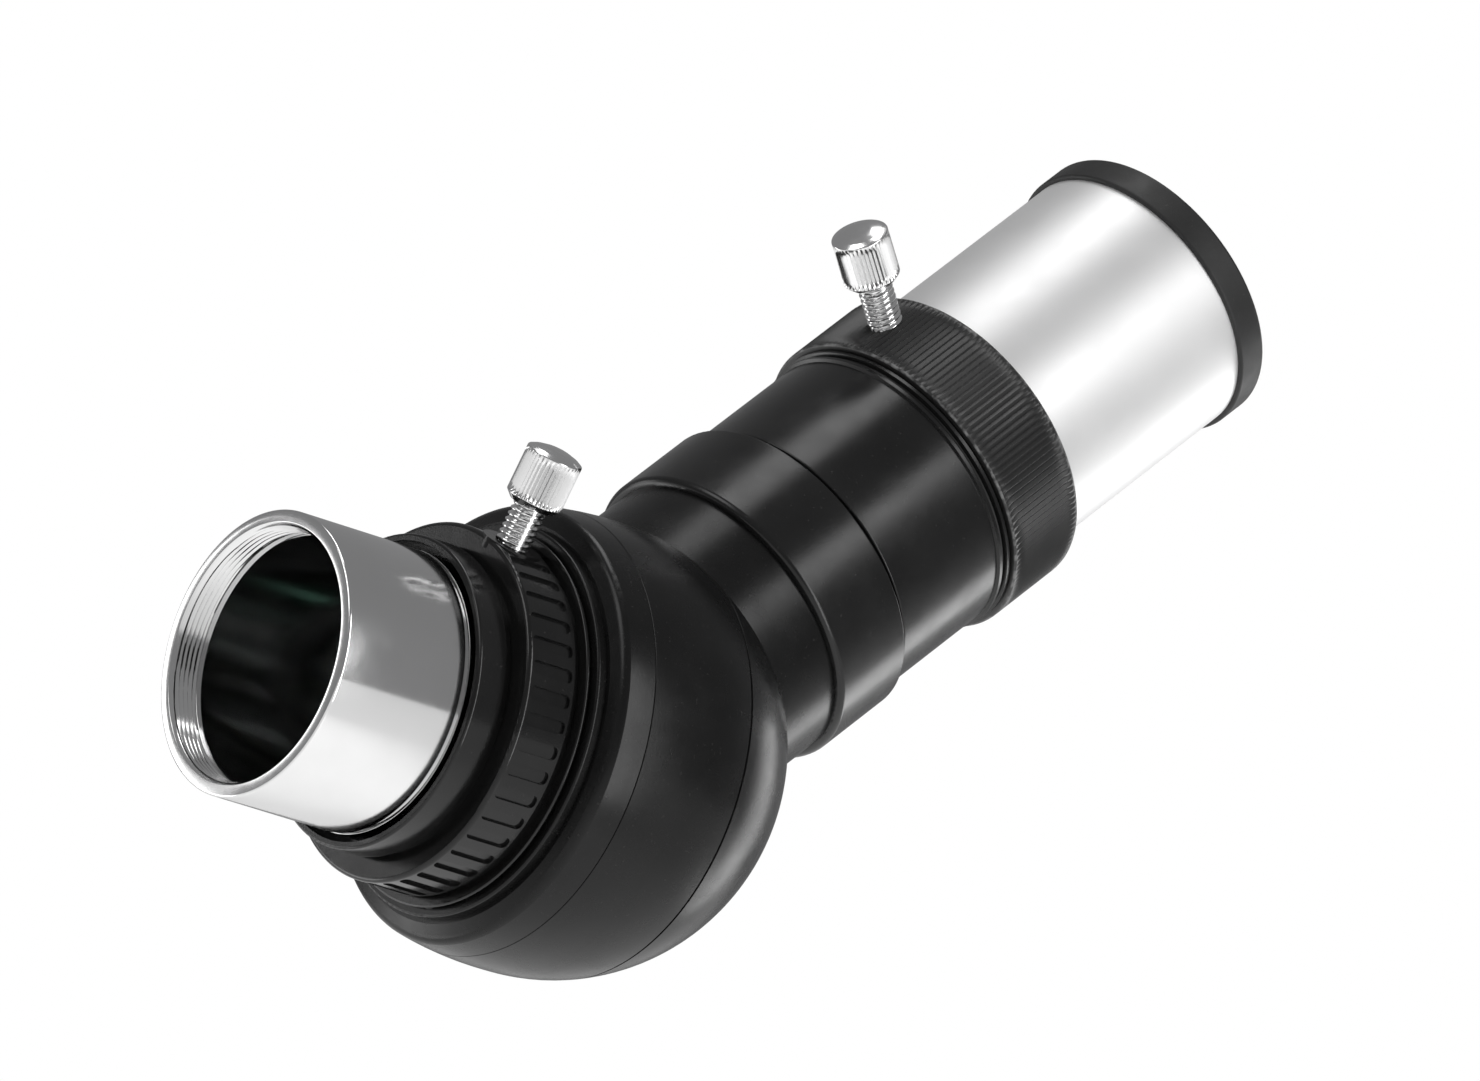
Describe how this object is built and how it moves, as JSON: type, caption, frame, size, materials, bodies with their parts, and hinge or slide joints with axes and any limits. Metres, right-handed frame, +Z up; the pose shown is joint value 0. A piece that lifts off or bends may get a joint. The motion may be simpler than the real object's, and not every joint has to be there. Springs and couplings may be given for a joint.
{
  "type": "star diagonal",
  "caption": "Forty-five degree erecting prism diagonal: round housing, slip-in nosepiece with ribbed clamp collar, knurled eyepiece clamp ring, thumbscrews and a removable eyepiece.",
  "frame": {"origin": "centre of the nosepiece mouth, where the light enters", "axes": "+X along the nosepiece axis the way the light travels, +Z up; the exit tube rises at 45 degrees in the XZ plane"},
  "size_m": [0.1232, 0.0506, 0.1065],
  "materials": {
    "collar_plastic": "glossy black moulded plastic",
    "housing_plastic": "semi-gloss black moulded plastic",
    "tube_black": "satin black",
    "ring_black": "black, fine straight knurl",
    "inner_black": "matt black anodised",
    "barrel_chrome": "polished",
    "thumbscrew_chrome": "bright plated",
    "barrel_satin": "satin silver",
    "rim_black": "matt black",
    "screw_steel": "blackened steel",
    "spring_steel": "bare spring steel",
    "cradle_black": "matt black",
    "pad_cork": "thin cork rubber",
    "optical_glass": "polished and coated"
  },
  "bodies": {
    "diagonal": {"nosepiece_barrel": "barrel_chrome", "nosepiece_lock_ring": "inner_black", "front_cover": "housing_plastic", "cover_screws": "screw_steel", "housing_body": "housing_plastic", "rear_cap": "housing_plastic", "prism": "optical_glass", "prism_cradle": "cradle_black", "prism_pads": "pad_cork", "prism_clip": "spring_steel", "clip_screws": "screw_steel", "neck_baffle": "inner_black", "neck_band": "tube_black", "holder_tube": "tube_black", "clamp_ring": "ring_black"},
    "collar": {"drawtube_collar": "collar_plastic"},
    "collar_screw": {"collar_screw_stud": "thumbscrew_chrome"},
    "collar_knob": {"collar_screw_head": "thumbscrew_chrome"},
    "holder_screw": {"holder_screw_stud": "thumbscrew_chrome"},
    "holder_knob": {"holder_screw_head": "thumbscrew_chrome"},
    "eyepiece": {"eyepiece_barrel": "barrel_satin", "eyepiece_rim": "rim_black", "field_lens": "optical_glass", "field_stop": "inner_black", "lens_spacer": "inner_black", "eye_lens": "optical_glass", "lens_retaining_ring": "inner_black"}
  },
  "joints": [
    {"name": "collar_turn", "type": "hinge", "parent": "diagonal", "child": "collar", "pos_m": [0.023, 0, 0], "axis": [1, 0, 0], "continuous": true},
    {"name": "collar_screw_travel", "type": "slide", "parent": "collar", "child": "collar_screw", "axis": [0, -0.4067, 0.9135], "range_m": [0, 0.0028]},
    {"name": "collar_screw_turn", "type": "hinge", "parent": "collar_screw", "child": "collar_knob", "pos_m": [0.0249, 0, 0], "axis": [0, -0.4067, 0.9135], "range_deg": [0, 1440]},
    {"name": "holder_screw_travel", "type": "slide", "parent": "diagonal", "child": "holder_screw", "axis": [-0.6909, -0.213, 0.6909], "range_m": [0, 0.0021]},
    {"name": "holder_screw_turn", "type": "hinge", "parent": "holder_screw", "child": "holder_knob", "pos_m": [0.08499, 0, 0.04299], "axis": [-0.6909, -0.213, 0.6909], "range_deg": [0, 1080]},
    {"name": "eyepiece_slide", "type": "slide", "parent": "diagonal", "child": "eyepiece", "axis": [0.7071, 0, 0.7071], "range_m": [0, 0.026]}
  ],
  "couplings": [
    {"joint": "collar_screw_turn", "follows": "collar_screw_travel", "rad_per_m": 8976},
    {"joint": "holder_screw_turn", "follows": "holder_screw_travel", "rad_per_m": 8976}
  ]
}
